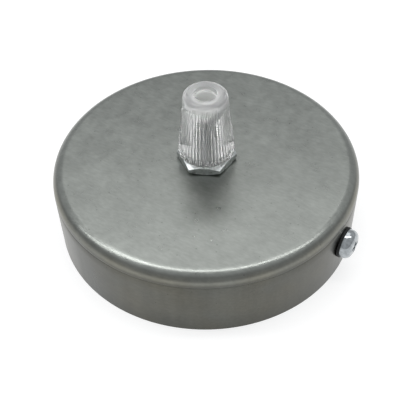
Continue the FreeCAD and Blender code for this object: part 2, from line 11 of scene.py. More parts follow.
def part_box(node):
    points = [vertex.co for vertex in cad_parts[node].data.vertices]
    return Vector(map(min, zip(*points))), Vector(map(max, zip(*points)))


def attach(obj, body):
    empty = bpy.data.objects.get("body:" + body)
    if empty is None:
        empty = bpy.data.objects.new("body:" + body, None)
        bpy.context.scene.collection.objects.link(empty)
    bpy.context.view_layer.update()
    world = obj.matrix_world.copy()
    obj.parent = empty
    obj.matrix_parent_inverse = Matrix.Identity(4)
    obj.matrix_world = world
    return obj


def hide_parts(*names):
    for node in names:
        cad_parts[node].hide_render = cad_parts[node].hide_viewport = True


bl_info = {
    "name": "Ceiling Rose",
    "version": (1, 0, 0),
    "blender": (4, 5, 0),
    "location": "View3D > Sidebar > Ceiling Rose",
    "description": "Finishes an electrical ceiling rose: canopy, cord grip, screws and terminals",
    "category": "Object",
}

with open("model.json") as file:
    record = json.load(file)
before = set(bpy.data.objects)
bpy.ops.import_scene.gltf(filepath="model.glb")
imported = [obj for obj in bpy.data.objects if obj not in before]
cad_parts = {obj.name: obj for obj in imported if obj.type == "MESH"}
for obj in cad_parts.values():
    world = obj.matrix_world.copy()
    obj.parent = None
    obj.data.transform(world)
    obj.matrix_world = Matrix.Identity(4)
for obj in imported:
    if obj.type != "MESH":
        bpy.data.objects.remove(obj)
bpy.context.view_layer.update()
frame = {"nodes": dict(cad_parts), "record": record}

MM = 0.001

# Places read from the frame
_, CANOPY_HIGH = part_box("canopy")
STEM_LOW, STEM_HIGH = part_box("grip_stem")
CAP_LOW, CAP_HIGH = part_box("grip_cap")
GRIP_X = (STEM_LOW.x + STEM_HIGH.x) / 2
GRIP_Y = (STEM_LOW.y + STEM_HIGH.y) / 2

# Canopy, measured like the solid that it stands for
CANOPY_RADIUS = CANOPY_HIGH.x
CANOPY_TOP = CANOPY_HIGH.z
SHEET = 1.0 * MM
EDGE_RADIUS = 4.0 * MM
CENTRE_HOLE = 5.5 * MM
SIDE_HOLE = 2.75 * MM
SIDE_HOLE_HEIGHT = 12.0 * MM
CREASE_HEIGHT = 20.2 * MM
CREASE_DEPTH = 0.18 * MM
CREASE_HALF = 0.5 * MM
# Section of the crease, upwards: share of its half height and share of its depth
CREASE_SECTION = ((-1.0, 0.0), (-0.5, 0.4), (0.0, 1.0), (0.5, 0.4), (1.0, 0.0))

# Painted reflections round the foot of the edge, a bright band with a dark line over it: height,
# half of the width, change of brightness
PAINTED_BRIGHT_BAND = (22.3 * MM, 1.4 * MM, 1.75)
PAINTED_DARK_LINE = (23.9 * MM, 0.5 * MM, 0.82)
# Painted shade: the wall gets darker below this height, down to this share at its rim
RIM_SHADE_HEIGHT = 8.0 * MM
RIM_SHADE_SHARE = 0.82
# Which way the scuffs of the top lie, and what brown adds to red, green and blue on the wall
SCUFF_TURN = math.radians(-32)
BROWN_TINT = (0.08, 0.0, -0.12)

# Cord grip
STEM_RADIUS = 5.0 * MM
STEM_BORE = 3.6 * MM
STEM_CHAMFER = 0.5 * MM
STEM_LENGTH = STEM_HIGH.z - STEM_LOW.z
CAP_BASE = 9.12 * MM
CAP_BAND = 1.9 * MM
CAP_RIM = 0.35 * MM
CAP_FOOT_CHAMFER = 0.1 * MM
CAP_SHOULDER = 6.8 * MM
CAP_TOP_EDGE = 1.5 * MM
CAP_MOUTH = 7.3 * MM
CAP_MOUTH_DEPTH = 1.6 * MM
CAP_BORE = 5.08 * MM
CAP_THREAD_TOP = 15.2 * MM
CAP_CONE_TOP = 4.43 * MM
CAP_TOP_WALL = 1.5 * MM
CAP_HEIGHT = CAP_HIGH.z - CAP_LOW.z
CAP_CHAMFER_TOP = CAP_MOUTH_DEPTH + CAP_MOUTH - CAP_BORE
# Step over the foot's band, and the start of the taper: how far in and how far up
BAND_STEP = (0.2 * MM, 0.06 * MM)
TAPER_FOOT = (0.17 * MM, 0.3 * MM)

# Flutes between the ribs: the rise over which they get deep, where they start to run out and
# where they end, and the height up to which painted shade draws them as lines on the plastic
FLUTE_ENTRY = 0.3 * MM
FLUTE_RUN_OUT = 18.0 * MM
FLUTE_TOP = 20.5 * MM
LINED_TOP = 19.0 * MM
# How squarely a wall faces outwards where flutes begin and where they are whole
FLUTED_FACING = (0.3, 0.7)

# Depth of the threads as a share of their pitch, and how near its radius a threaded wall lies
LAMP_THREAD_DEPTH = 0.55
SCREW_THREAD_DEPTH = 0.6
WALL_TOLERANCE = 0.02 * MM

# From the middle of a crest, 0, to the middle of a groove, 0.5: start and end of the flank of
# the ribs and the threads, and of the painted shade that greys the grooves and so draws both
# as lines in clear plastic
RIB_FLANK = (0.08, 0.5)
THREAD_FLANK = (0.08, 0.44)
LINE_FLANK = (0.15, 0.4)
PAINTED_LINE_SHADE = 0.1

# Screws: shank radius, thread pitch, shank length, head radius and height, rounding of the head
SIDE_SCREW = (2.5 * MM, 0.8 * MM, 10.0 * MM, 4.75 * MM, 3.2 * MM, 2.3 * MM)
EARTH_SCREW = (2.0 * MM, 0.7 * MM, 6.0 * MM, 4.0 * MM, 2.6 * MM, 1.4 * MM)
CLAMP_SCREW = (1.5 * MM, 0.5 * MM, 4.6 * MM, 1.95 * MM, 1.6 * MM, 0.2 * MM)
BLOCK_SCREW = (1.25 * MM, 0.45 * MM, 4.7 * MM, 2.5 * MM, 1.9 * MM, 0.2 * MM)
POINT_CHAMFER = 0.5 * MM
RECESS_REACH = 2.3 * MM
RECESS_ARM = 0.55 * MM
RECESS_DEPTH = 1.9 * MM
RECESS_TAPER = 0.33 * MM
RECESS_FLOOR_SHARE = 0.6
SLOT_HALF = 0.3 * MM
SLOT_DEPTH = 0.8 * MM
# How far a cutter stands out of the head that it cuts
CUTTER_OVERSHOOT = 1.0 * MM

# A length too small to matter
TINY = 0.001 * MM

# Facets round the axis, and steps along the arcs of an outline
CANOPY_FACETS = 288
CAP_FACETS = 384
STEM_FACETS = 96
SCREW_FACETS = 48
FLOOR_FACETS = 64
EDGE_STEPS = 16
INNER_EDGE_STEPS = 12
ROUNDING_STEPS = 8
# Longest steps along straight stretches, and the first step away from an arc
TOP_ROW = 4.0 * MM
WALL_ROW = 3.0 * MM
TAPER_ROW = 0.7 * MM
BAND_ROW = 0.3 * MM
ARC_GAP = 0.3 * MM
ROWS_PER_PITCH = 8
SHARP_ANGLE = math.radians(38)

# Between these two lies most of what a noise pattern gives
NOISE_ENDS = (0.3, 0.7)
# Plastic that light wanders in before it comes out
MILKY = {
    "Subsurface Weight": 1.0, "Subsurface Radius": (1.0, 1.0, 1.0), "Subsurface Scale": 3.0 * MM}
# Milkiness of the cap's end: how far below the lines' end it sets in, and how far above that
# end it is full
HAZE_START = 3.0 * MM
HAZE_FULL = 1.0 * MM

# Stage: place of each lamp, then its width and depth, all in metres
SOFTBOX = ((-0.26, 0.42, 0.85), (0.8, 0.5))
STRIP_LAMP = ((-0.1, 0.015, 0.8), (1.5, 0.12))
KEY_LAMP = ((-0.33, 0.0, 0.8), (0.18, 0.18))
FLOOR_RADIUS = 3.0
FLOOR_DROP = 0.1 * MM
PAPER_GLOW = 0.72
SENSOR_WIDTH = 36.0
CLIP_START = 5.0 * MM
WHITE = (1.0, 1.0, 1.0, 1.0)


def linear(code):
    """An sRGB hex colour as linear red, green and blue."""
    channels = [int(code[start:start + 2], 16) / 255 for start in (1, 3, 5)]
    return tuple(c / 12.92 if c <= 0.04045 else ((c + 0.055) / 1.055) ** 2.4 for c in channels)


def opaque(colour):
    return (*colour, 1.0)


def add_node(tree, kind, inputs=None, **settings):
    """Add a node, set it up, and feed its inputs from plain values or other nodes' outputs."""
    node = tree.nodes.new(kind)
    for name, value in settings.items():
        setattr(node, name, value)
    for key, value in (inputs or {}).items():
        if isinstance(value, bpy.types.NodeSocket):
            tree.links.new(value, node.inputs[key])
        else:
            node.inputs[key].default_value = value
    return node


def add_math(tree, operation, *values):
    """Work out one value from others."""
    return add_node(tree, "ShaderNodeMath", dict(enumerate(values)),
                    operation=operation).outputs[0]


def times(tree, first, *others):
    """One value times each of the others."""
    for other in others:
        first = add_math(tree, "MULTIPLY", first, other)
    return first


def scaled(tree, colour, factor):
    """A colour, or another set of three values, times one factor."""
    return add_node(tree, "ShaderNodeVectorMath", {
        0: colour, "Scale": factor}, operation="SCALE").outputs[0]


def ramp(tree, value, across=(0.0, 1.0), result=(0.0, 1.0), soft=False):
    """What lies as far along result as value lies along across, held at both ends."""
    return add_node(tree, "ShaderNodeMapRange", {
        "Value": value, "From Min": across[0], "From Max": across[1], "To Min": result[0],
        "To Max": result[1]}, interpolation_type="SMOOTHSTEP" if soft else "LINEAR").outputs[0]


def take_apart(tree, place):
    """The X, Y and Z of a place, by name."""
    return add_node(tree, "ShaderNodeSeparateXYZ", {0: place}).outputs


def turn_about_axis(tree, apart):
    """Where a place lies round the upright axis, from minus half a turn to plus half a turn."""
    angle = add_math(tree, "ARCTAN2", apart["Y"], apart["X"])
    return add_math(tree, "DIVIDE", angle, 2 * math.pi)


def new_finish(name):
    """An empty material, its tree and the object coordinates that its patterns follow."""
    material = bpy.data.materials.new(name)
    material.use_nodes = True
    tree = material.node_tree
    tree.nodes.clear()
    return material, tree, add_node(tree, "ShaderNodeTexCoord").outputs["Object"]


def noise(tree, place, size, detail):
    """Noise whose spots are about as wide as size."""
    return add_node(tree, "ShaderNodeTexNoise", {
        "Vector": place, "Scale": 1 / size, "Detail": detail}).outputs[0]


def swing(tree, pattern, low, high):
    """A noise pattern stretched to run from low to high."""
    return ramp(tree, pattern, NOISE_ENDS, (low, high))


def mapped(tree, place, **change):
    """A place moved, turned or stretched before a pattern reads it."""
    return add_node(tree, "ShaderNodeMapping", {"Vector": place, **change}).outputs[0]


def relief(tree, pattern, strength, depth):
    """Normals of a surface that goes up and down with a pattern."""
    return add_node(tree, "ShaderNodeBump", {
        "Height": pattern, "Strength": strength, "Distance": depth}).outputs[0]


def end_finish(tree, looks):
    """End a material with one shader that is fed from looks."""
    shader = add_node(tree, "ShaderNodeBsdfPrincipled", looks)
    add_node(tree, "ShaderNodeOutputMaterial", {"Surface": shader.outputs[0]})


def drawn_steel(colour, wall_shade_share, roughness):
    """Cold-drawn mild steel, left bare: a satin grey top with short scuffs and dark specks, and
    a browner wall with upright draw marks. Painted shade makes the wall darker than the top and
    darkest at its open rim, and painted reflections draw a bright band round the foot of the
    edge and a dark line over it."""
    material, tree, place = new_finish("drawn_mild_steel")
    height = take_apart(tree, place)["Z"]
    # Mask of the wall below the top of the edge: it carries the painted wall shade and the brown
    # tint
    edge_heights = (CANOPY_TOP - 0.1 * EDGE_RADIUS, CANOPY_TOP - 0.6 * EDGE_RADIUS)
    on_wall = ramp(tree, height, edge_heights, soft=True)
    # Painted shade that darkens the wall towards its open rim
    near_rim = ramp(tree, height, (RIM_SHADE_HEIGHT, 0.0))
    cloud = noise(tree, place, 14 * MM, 5.0)
    # Stretched upright, so it draws streaks on the wall and soft spots on the top
    streak_place = mapped(tree, place, Scale=(1.0, 1.0, 0.08))
    streak = noise(tree, streak_place, 3.2 * MM, 4.0)
    # Short scuffs that lie at a slant across the top, 0.7 mm apart
    scuff_place = mapped(tree, place, Rotation=(0.0, 0.0, SCUFF_TURN), Scale=(0.35, 1.0, 1.0))
    scuff = noise(tree, scuff_place, 0.7 * MM, 2.0)
    # Dark specks, one in each cell of about 3 mm
    speck = add_node(tree, "ShaderNodeTexVoronoi", {"Vector": place, "Scale": 1 / (3.1 * MM)})
    shade = ramp(tree, speck.outputs["Distance"], (0.04, 0.1), (0.7, 1.0))
    for pattern, depth in ((cloud, 0.07), (streak, 0.07), (scuff, 0.06)):
        shade = times(tree, shade, swing(tree, pattern, 1 - depth, 1 + depth))
    # Painted reflections: the bright band and the dark line round the foot of the edge
    for middle, half, change in (PAINTED_BRIGHT_BAND, PAINTED_DARK_LINE):
        away = add_math(tree, "ABSOLUTE", add_math(tree, "SUBTRACT", height, middle))
        shade = times(tree, shade, ramp(tree, away, (0.0, half), (change, 1.0), soft=True))
    # Painted shade: the wall darker than the top, and darker still towards its open rim
    for share, darkest in ((on_wall, wall_shade_share), (near_rim, RIM_SHADE_SHARE)):
        shade = times(tree, shade, ramp(tree, share, result=(1.0, darkest)))
    brown = times(tree, on_wall, swing(tree, noise(tree, place, 22 * MM, 3.0), 0.0, 1.0))
    tint = add_node(tree, "ShaderNodeVectorMath", {
        0: brown, 1: BROWN_TINT, 2: (1.0, 1.0, 1.0)}, operation="MULTIPLY_ADD")
    steel = add_node(tree, "ShaderNodeVectorMath", {
        0: scaled(tree, colour, shade), 1: tint.outputs[0]}, operation="MULTIPLY")
    end_finish(tree, {
        "Base Color": steel.outputs[0], "Metallic": 1.0,
        "Roughness": swing(tree, streak, roughness - 0.03, roughness + 0.04),
        "Normal": relief(tree, scuff, 0.3, 0.01 * MM)})
    return material


def zinc_plate(name, colour, roughness, spangle):
    """Electroplated zinc on steel: bluish, with a clouding as wide as spangle."""
    material, tree, place = new_finish(name)
    cloud = noise(tree, place, spangle, 4.0)
    end_finish(tree, {
        "Base Color": scaled(tree, colour, swing(tree, cloud, 0.62, 1.15)), "Metallic": 1.0,
        "Roughness": swing(tree, cloud, roughness * 0.8, roughness * 1.3),
        "Normal": relief(tree, cloud, 0.2, 0.03 * MM)})
    return material


def clear_polycarbonate(name, colour, haze, end_haze, base, turns, pitch, top):
    """Injection-moulded clear polycarbonate: see-through and glossy, a trace milky, with the
    faint waves that the mould leaves. Up to top, painted shade greys the grooves between its
    ribs or thread, so that the crests show as bright lines: as many lines as turns, that rise
    one pitch in a turn. Above it the plastic is as milky as end_haze says."""
    material, tree, place = new_finish(name)
    wave = noise(tree, place, 3 * MM, 2.0)
    apart = take_apart(tree, mapped(tree, place, Location=-base))
    rise = times(tree, apart["Z"], 1 / pitch if pitch else 0.0)
    phase = add_math(tree, "MULTIPLY_ADD", turn_about_axis(tree, apart), -turns, rise)
    # Painted shade: the grooves of the ribs and the thread are greyed, up to the top of the lines
    grey = ramp(tree, add_math(tree, "PINGPONG", phase, 0.5), LINE_FLANK, (0.0, PAINTED_LINE_SHADE),
                soft=True)
    lined = ramp(tree, apart["Z"], (top, top - MM))
    bright = add_math(tree, "SUBTRACT", 1.0, times(tree, grey, lined))
    clear = ramp(tree, apart["Z"], (top - HAZE_START, top + HAZE_FULL), (1 - haze, 1 - end_haze),
                 soft=True)
    end_finish(tree, {
        "Base Color": scaled(tree, colour, bright), "Roughness": swing(tree, wave, 0.02, 0.08),
        "IOR": 1.58, "Transmission Weight": clear, **MILKY,
        "Normal": relief(tree, wave, 0.15, 0.04 * MM)})
    return material


def natural_polythene(colour):
    """Natural polythene, moulded: waxy and milky, so that light from outside glows in its bore."""
    material, tree, place = new_finish("natural_polythene")
    wax = noise(tree, place, 2 * MM, 3.0)
    end_finish(tree, {
        "Base Color": opaque(colour), "IOR": 1.51, **MILKY,
        "Roughness": swing(tree, wax, 0.35, 0.5)})
    return material


def turned_brass(colour):
    """Free-cutting brass, drawn or turned: warm yellow with fine tool lines, a little dulled."""
    material, tree, place = new_finish("turned_brass")
    # Lines that run along the tubes and the screw, 0.2 mm apart so that they show
    lines = noise(tree, mapped(tree, place, Scale=(1.0, 0.05, 1.0)), 0.2 * MM, 2.0)
    cloud = noise(tree, place, 3 * MM, 3.0)
    end_finish(tree, {
        "Base Color": scaled(tree, colour, swing(tree, cloud, 0.78, 1.08)), "Metallic": 1.0,
        "Roughness": swing(tree, lines, 0.22, 0.4),
        "Normal": relief(tree, lines, 0.3, 0.02 * MM)})
    return material


def nitrile_rubber(colour):
    """Black nitrile rubber, cut from sheet: matt, with a fine grain and grey dust in it."""
    material, tree, place = new_finish("nitrile_rubber")
    grain = noise(tree, place, 0.3 * MM, 3.0)
    end_finish(tree, {
        "Base Color": scaled(tree, colour, swing(tree, grain, 0.7, 1.5)), "Roughness": 0.65,
        "Normal": relief(tree, grain, 0.3, 0.03 * MM)})
    return material


def moulded_nylon(colour):
    """White nylon 66 from a spark-eroded mould: satin, with an even fine grain."""
    material, tree, place = new_finish("moulded_nylon")
    grain = noise(tree, place, 0.25 * MM, 2.0)
    cloud = noise(tree, place, 6 * MM, 3.0)
    end_finish(tree, {
        "Base Color": scaled(tree, colour, swing(tree, cloud, 0.95, 1.02)), "IOR": 1.53,
        "Roughness": swing(tree, grain, 0.4, 0.52),
        "Normal": relief(tree, grain, 0.25, 0.02 * MM)})
    return material


def dress(material, *nodes):
    """Give frame nodes that keep their own shape a finish."""
    for name in nodes:
        slots = frame["nodes"][name].data.materials
        slots.clear()
        slots.append(material)


def arc(centre, radius, start, end, steps):
    """Points of radius and height along an arc, its angles in degrees from the outward level."""
    across, height = centre
    turns = [math.radians(start + (end - start) * step / steps) for step in range(steps + 1)]
    return [(across + radius * math.cos(t), height + radius * math.sin(t)) for t in turns]


def rows(low, high, step):
    """Points along a straight stretch of an outline, no further apart than step."""
    length = math.hypot(high[0] - low[0], high[1] - low[1])
    count = max(1, math.ceil(length / step))
    return [
        (low[0] + (high[0] - low[0]) * part / count, low[1] + (high[1] - low[1]) * part / count)
        for part in range(count)
    ]


def new_ring(shape, radius, height, facets):
    """Level ring of new points, or one point over and over where the ring has closed."""
    if radius < TINY:
        return [shape.verts.new((0.0, 0.0, height))] * facets
    turns = [2 * math.pi * step / facets for step in range(facets)]
    return [shape.verts.new((radius * math.cos(t), radius * math.sin(t), height)) for t in turns]


def join_rings(shape, lower, upper):
    """Faces between two rings with as many points."""
    for step in range(len(lower)):
        after = (step + 1) % len(lower)
        corners = (lower[step], lower[after], upper[after], upper[step])
        shape.faces.new(list(dict.fromkeys(corners)))


def end_mesh(name, shape):
    """Turn what has been built into a mesh."""
    mesh = bpy.data.meshes.new(name)
    shape.to_mesh(mesh)
    shape.free()
    return mesh


def spun_mesh(name, outline, facets):
    """Closed mesh made by turning an outline of radius and height about the upright axis."""
    shape = bmesh.new()
    rings = [new_ring(shape, radius, height, facets) for radius, height in outline]
    hollow = outline[0][0] > TINY
    pairs = zip(rings, rings[1:] + rings[:1]) if hollow else zip(rings, rings[1:])
    for lower, upper in pairs:
        join_rings(shape, lower, upper)
    bmesh.ops.recalc_face_normals(shape, faces=shape.faces)
    return end_mesh(name, shape)


def prism(name, low, high):
    """Closed mesh between two outlines with as many corners, each a list of points."""
    shape = bmesh.new()
    lower = [shape.verts.new(point) for point in low]
    upper = [shape.verts.new(point) for point in high]
    shape.faces.new(lower)
    shape.faces.new(upper)
    join_rings(shape, lower, upper)
    bmesh.ops.recalc_face_normals(shape, faces=shape.faces)
    return end_mesh(name, shape)


def new_piece(name, mesh):
    piece = bpy.data.objects.new(name, mesh)
    bpy.context.scene.collection.objects.link(piece)
    return piece


def settle(piece):
    """Turn what the modifiers make of a piece into its own plain mesh."""
    graph = bpy.context.evaluated_depsgraph_get()
    mesh = bpy.data.meshes.new_from_object(piece.evaluated_get(graph))
    piece.modifiers.clear()
    piece.data = mesh


def carve(piece, shape):
    """Cut a closed mesh out of a piece."""
    cutter = new_piece("cutter", shape)
    cut = piece.modifiers.new("cut", "BOOLEAN")
    cut.operation = "DIFFERENCE"
    cut.solver = "EXACT"
    cut.object = cutter
    settle(piece)
    bpy.data.objects.remove(cutter)


def finish_piece(piece, place, material, body, node):
    """Put a piece's mesh in its place and let it ride on a body in place of a frame node."""
    mesh = piece.data
    mesh.transform(place)
    mesh.materials.clear()
    mesh.materials.append(material)
    mesh.shade_smooth()
    mesh.set_sharp_from_angle(angle=SHARP_ANGLE)
    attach(piece, body)
    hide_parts(node)


def new_tree(name, sizes):
    """Geometry node tree with a named input for each size and for the material, a whole number
    where the name ends in Count. Gives the tree and its inputs."""
    tree = bpy.data.node_groups.new(name, "GeometryNodeTree")
    tree.interface.new_socket("Geometry", in_out="INPUT", socket_type="NodeSocketGeometry")
    for label in sizes:
        kind = "NodeSocketInt" if label.endswith("Count") else "NodeSocketFloat"
        tree.interface.new_socket(label, in_out="INPUT", socket_type=kind)
    tree.interface.new_socket("Material", in_out="INPUT", socket_type="NodeSocketMaterial")
    tree.interface.new_socket("Geometry", in_out="OUTPUT", socket_type="NodeSocketGeometry")
    return tree, add_node(tree, "NodeGroupInput").outputs


def about_axis(tree):
    """Where the tree's points lie about the upright axis: their height, their level place, the
    way outwards from the axis, and their turn about it."""
    place = add_node(tree, "GeometryNodeInputPosition").outputs[0]
    apart = take_apart(tree, place)
    level = add_node(tree, "ShaderNodeCombineXYZ", {"X": apart["X"], "Y": apart["Y"]}).outputs[0]
    outward = add_node(tree, "ShaderNodeVectorMath", {0: level}, operation="NORMALIZE").outputs[0]
    return apart["Z"], level, outward, turn_about_axis(tree, apart)


def end_tree(tree, given, outward, depth):
    """Move the points in against outward by depth, and end the tree."""
    shift = scaled(tree, outward, times(tree, depth, -1.0))
    cut = add_node(tree, "GeometryNodeSetPosition", {
        "Geometry": given["Geometry"], "Offset": shift})
    whole = add_node(tree, "GeometryNodeRealizeInstances", {"Geometry": cut.outputs[0]})
    dressed = add_node(tree, "GeometryNodeSetMaterial", {
        "Geometry": whole.outputs[0], "Material": given["Material"]})
    add_node(tree, "NodeGroupOutput", {"Geometry": dressed.outputs[0]})


def apply_tree(piece, tree, values):
    """Put a tree on a piece, set its inputs by name, and keep the shape that it makes."""
    modifier = piece.modifiers.new(tree.name, "NODES")
    modifier.node_group = tree
    for item in tree.interface.items_tree:
        if item.in_out == "INPUT" and item.name in values:
            modifier[item.identifier] = values[item.name]
    settle(piece)


def make_thread_tree():
    """Cuts a right-hand thread into a round wall: each point moves in or out with its turn."""
    tree, given = new_tree("screw_thread", ("Pitch", "Depth", "Wall Radius", "Start", "End"))
    height, level, outward, turn = about_axis(tree)
    radius = add_node(tree, "ShaderNodeVectorMath", {0: level}, operation="LENGTH")
    pitch, start, end = given["Pitch"], given["Start"], given["End"]
    phase = add_math(tree, "SUBTRACT", add_math(tree, "DIVIDE", height, pitch), turn)
    flank = add_math(tree, "PINGPONG", phase, 0.5)
    groove = ramp(tree, flank, THREAD_FLANK, (0.0, given["Depth"]))
    started = ramp(tree, height, (start, add_math(tree, "ADD", start, pitch)))
    ended = ramp(tree, height, (end, add_math(tree, "SUBTRACT", end, pitch)))
    on_wall = add_math(tree, "COMPARE", radius.outputs["Value"], given["Wall Radius"],
                       WALL_TOLERANCE)
    end_tree(tree, given, outward, times(tree, groove, started, ended, on_wall))
    return tree


def make_rib_tree():
    """Flutes the outside of the cap: the wall goes in between the ribs, up to a soft run-out."""
    tree, given = new_tree("cap_ribs", ("Rib Count", "Rib Depth", "Foot", "Run Out", "Top"))
    height, _, outward, turn = about_axis(tree)
    normal = add_node(tree, "GeometryNodeInputNormal").outputs[0]
    facing = add_node(tree, "ShaderNodeVectorMath", {0: outward, 1: normal},
                      operation="DOT_PRODUCT").outputs["Value"]
    outside = ramp(tree, facing, FLUTED_FACING)
    across = add_math(tree, "PINGPONG", times(tree, turn, given["Rib Count"]), 0.5)
    flute = ramp(tree, across, RIB_FLANK, (0.0, given["Rib Depth"]), soft=True)
    foot = given["Foot"]
    above = ramp(tree, height, (foot, add_math(tree, "ADD", foot, FLUTE_ENTRY)))
    below = ramp(tree, height, (given["Top"], given["Run Out"]))
    end_tree(tree, given, outward, times(tree, flute, outside, above, below))
    return tree


def canopy_outline():
    """Section of the drawn cup: up the outside, over the crease and the edge, and back inside."""
    inside = CANOPY_RADIUS - SHEET
    centre = (CANOPY_RADIUS - EDGE_RADIUS, CANOPY_TOP - EDGE_RADIUS)
    groove = [
        (CANOPY_RADIUS - CREASE_DEPTH * share, CREASE_HEIGHT + CREASE_HALF * offset)
        for offset, share in CREASE_SECTION
    ]
    soffit = CANOPY_TOP - SHEET
    points = rows((inside, 0.0), (CANOPY_RADIUS, 0.0), SHEET)
    points += rows((CANOPY_RADIUS, 0.0), groove[0], WALL_ROW)
    points += groove
    points += arc(centre, EDGE_RADIUS, 0, 90, EDGE_STEPS)
    points += rows((centre[0] - ARC_GAP, CANOPY_TOP), (CENTRE_HOLE, CANOPY_TOP), TOP_ROW)
    points += rows((CENTRE_HOLE, CANOPY_TOP), (CENTRE_HOLE, soffit), SHEET)
    points += rows((CENTRE_HOLE, soffit), (centre[0], soffit), TOP_ROW)
    points += arc(centre, EDGE_RADIUS - SHEET, 90, 0, INNER_EDGE_STEPS)
    points += rows((inside, centre[1] - ARC_GAP), (inside, 0.0), WALL_ROW)
    return points


def cap_outline(pitch):
    """Section of the cap from the mouth's edge, up the outside, and down the threaded bore."""
    band = (CAP_BASE, CAP_BAND)
    slope = math.atan2(CAP_BASE - CAP_SHOULDER, CAP_HEIGHT - CAP_BAND)
    top_centre = (
        CAP_SHOULDER - CAP_TOP_EDGE * (1 - math.sin(slope)) / math.cos(slope),
        CAP_HEIGHT - CAP_TOP_EDGE,
    )
    edge = arc(top_centre, CAP_TOP_EDGE, math.degrees(slope), 90, ROUNDING_STEPS)
    step, taper = [(CAP_BASE - inward, CAP_BAND + up) for inward, up in (BAND_STEP, TAPER_FOOT)]
    ceiling = CAP_HEIGHT - CAP_TOP_WALL
    points = [(CAP_MOUTH, 0.0), (CAP_BASE - CAP_FOOT_CHAMFER, 0.0), (CAP_BASE, CAP_FOOT_CHAMFER)]
    points += rows((CAP_BASE, CAP_RIM), band, BAND_ROW)
    points += [band, step]
    points += rows(taper, edge[0], TAPER_ROW)
    points += edge
    points += [(STEM_BORE, CAP_HEIGHT), (STEM_BORE, ceiling), (CAP_CONE_TOP, ceiling)]
    points += rows((CAP_BORE, CAP_THREAD_TOP), (CAP_BORE, CAP_CHAMFER_TOP),
                   pitch / ROWS_PER_PITCH)
    points += [(CAP_BORE, CAP_CHAMFER_TOP), (CAP_MOUTH, CAP_MOUTH_DEPTH)]
    return points


def stem_outline(pitch):
    """Section of the hollow stem, with close rows where its thread is."""
    shoulder = STEM_RADIUS - STEM_CHAMFER
    thread_end = (STEM_RADIUS, STEM_LENGTH - STEM_CHAMFER)
    points = [(STEM_BORE, 0.0), (shoulder, 0.0)]
    points += rows((STEM_RADIUS, STEM_CHAMFER), thread_end, pitch / ROWS_PER_PITCH)
    points += [thread_end, (shoulder, STEM_LENGTH), (STEM_BORE, STEM_LENGTH)]
    return points


def screw_outline(size):
    """Section of a screw from its point to the middle of its head, seated at height zero."""
    shank, pitch, length, head, height, rounding = size
    points = [(0.0, -length), (shank - POINT_CHAMFER, -length)]
    points += rows((shank, POINT_CHAMFER - length), (shank, 0.0), pitch / ROWS_PER_PITCH)
    points += [(shank, 0.0), (head, 0.0)]
    points += arc((head - rounding, height - rounding), rounding, 0, 90, ROUNDING_STEPS)
    points.append((0.0, height))
    return points


def cross_corners(reach, arm, height):
    """Corners of a cross, anticlockwise from the arm that points along X."""
    quarter = [(reach, -arm), (reach, arm), (arm, arm)]
    corners = []
    for _ in range(4):
        for x, y in quarter:
            corners.append((x, y, height))
        quarter = [(-y, x) for x, y in quarter]
    return corners


def cross_cutter(top):
    """Tapered cross that cuts the recess of a head whose top is at this height."""
    spread = RECESS_TAPER / RECESS_DEPTH * CUTTER_OVERSHOOT
    floor = cross_corners(
        RECESS_REACH - RECESS_TAPER, RECESS_ARM * RECESS_FLOOR_SHARE, top - RECESS_DEPTH)
    mouth = cross_corners(RECESS_REACH + spread, RECESS_ARM + spread, top + CUTTER_OVERSHOOT)
    return prism("cross_cutter", floor, mouth)


def slot_cutter(top, head):
    """Bar that cuts a slot right across a head whose top is at this height."""
    reach = head + CUTTER_OVERSHOOT
    corners = [(-reach, -SLOT_HALF), (reach, -SLOT_HALF), (reach, SLOT_HALF), (-reach, SLOT_HALF)]
    floor = [(x, y, top - SLOT_DEPTH) for x, y in corners]
    mouth = [(x, y, top + CUTTER_OVERSHOOT) for x, y in corners]
    return prism("slot_cutter", floor, mouth)


def make_screw(node, size, axis, drive, thread, material):
    """Threaded screw in place of a plain one. Its head points along axis, at the node's end."""
    shank, pitch, length, head, height, _ = size
    piece = new_piece(f"{node}_threaded", spun_mesh(node, screw_outline(size), SCREW_FACETS))
    apply_tree(piece, thread, {
        "Pitch": pitch, "Depth": SCREW_THREAD_DEPTH * pitch, "Wall Radius": shank,
        "Start": -length, "End": -pitch, "Material": material})
    carve(piece, cross_cutter(height) if drive == "cross" else slot_cutter(height, head))
    low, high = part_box(node)
    middle = (low + high) / 2
    half = (high - low) / 2
    end = middle + Vector(axis) * abs(half.dot(Vector(axis)))
    turn = Vector(axis).to_track_quat("Z", "Y").to_matrix().to_4x4()
    seat = Matrix.Translation(end - Vector(axis) * height) @ turn
    finish_piece(piece, seat, material, frame_body(node), node)


def frame_body(node):
    """Name of the body that a frame node belongs to."""
    bodies = frame["record"]["behaviour"]["bodies"]
    return next(body for body, nodes in bodies.items() if node in nodes)


class CanopyLook(PropertyGroup):
    """Finish of the canopy and of the strap inside it."""

    steel: FloatVectorProperty(
        name="Steel", description="Colour of the bare drawn steel",
        default=linear("#8B8E8A"), subtype="COLOR", min=0.0, max=1.0)
    # Painted shade: the share of the steel's colour that the wall keeps beside the top
    wall_shade_share: FloatProperty(
        name="Wall shade", description="How bright the drawn wall is beside the top",
        default=0.42, subtype="FACTOR", min=0.1, max=1.0)
    steel_roughness: FloatProperty(
        name="Steel roughness", description="How satin the drawn steel is",
        default=0.3, subtype="FACTOR", min=0.05, max=1.0)
    strap: FloatVectorProperty(
        name="Strap", description="Colour of the strap's zinc plate",
        default=linear("#A9ADAF"), subtype="COLOR", min=0.0, max=1.0)


